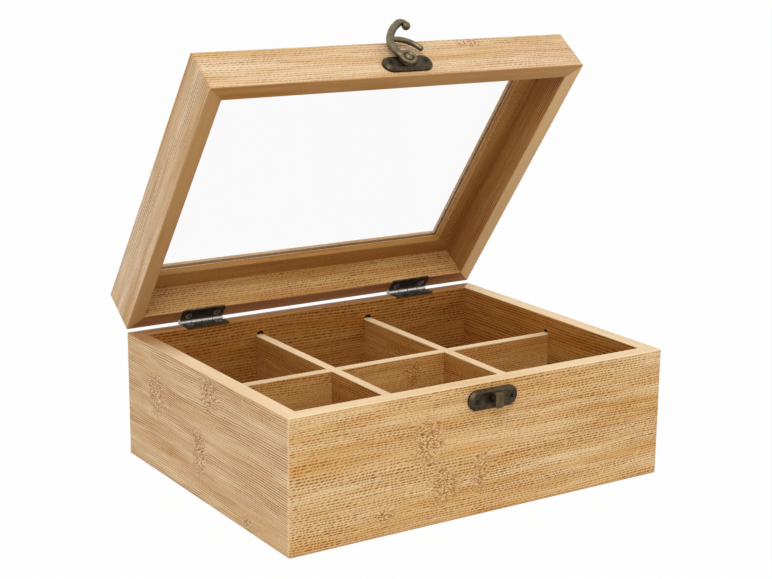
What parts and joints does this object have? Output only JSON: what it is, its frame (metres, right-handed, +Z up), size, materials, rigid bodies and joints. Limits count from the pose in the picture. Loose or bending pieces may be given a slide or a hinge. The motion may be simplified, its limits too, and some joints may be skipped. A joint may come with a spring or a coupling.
{
  "type": "tea bag organizer box",
  "caption": "Hinged bamboo box with divided compartments for tea bags, a lid with a glass window, and a swinging hook latch on the front.",
  "frame": {"origin": "centre of the underside of the box, on the surface it stands on", "axes": "+X to the right seen from the latch side, +Y to the hinge side, +Z up; drawn with the lid standing open and the hook swung up"},
  "size_m": [0.215, 0.1937, 0.2258],
  "materials": {
    "bamboo_body": "fine-sanded bamboo, clear matt lacquer",
    "bamboo_lid": "fine-sanded bamboo, clear matt lacquer",
    "bamboo_dividers": "fine-sanded bamboo, clear matt lacquer",
    "bamboo_panel": "sanded bamboo panel",
    "glass": "clear polished",
    "bronze": "antique bronze, worn edges",
    "screws": "antique bronze plated",
    "pins": "worn bright"
  },
  "bodies": {
    "box": {"front_wall": "bamboo_body", "back_wall": "bamboo_body", "left_wall": "bamboo_body", "right_wall": "bamboo_body", "bottom_panel": "bamboo_panel", "long_divider": "bamboo_dividers", "left_divider": "bamboo_dividers", "right_divider": "bamboo_dividers", "left_hinge_body_leaf": "bronze", "left_hinge_pin": "pins", "right_hinge_body_leaf": "bronze", "right_hinge_pin": "pins", "hinge_body_screws": "screws", "catch_plate": "bronze", "catch_plate_screws": "screws"},
    "lid": {"lid_front_wall": "bamboo_lid", "lid_back_wall": "bamboo_lid", "lid_left_wall": "bamboo_lid", "lid_right_wall": "bamboo_lid", "lid_front_rail": "bamboo_lid", "lid_back_rail": "bamboo_lid", "lid_left_rail": "bamboo_lid", "lid_right_rail": "bamboo_lid", "glass_pane": "glass", "left_hinge_lid_leaf": "bronze", "right_hinge_lid_leaf": "bronze", "hinge_lid_screws": "screws", "hook_plate": "bronze", "hook_rivet": "pins", "hook_plate_screws": "screws"},
    "hook": {"hook": "bronze"}
  },
  "joints": [
    {"name": "lid_hinge", "type": "hinge", "parent": "box", "child": "lid", "pos_m": [0, 0.0837, 0.066], "axis": [-1, 0, 0], "range_deg": [-53.9, 126.1]},
    {"name": "hook_pivot", "type": "hinge", "parent": "lid", "child": "hook", "pos_m": [0.0015, -0.01005, 0.20915], "axis": [0, 0.5892, -0.808], "range_deg": [-80, 167]}
  ]
}
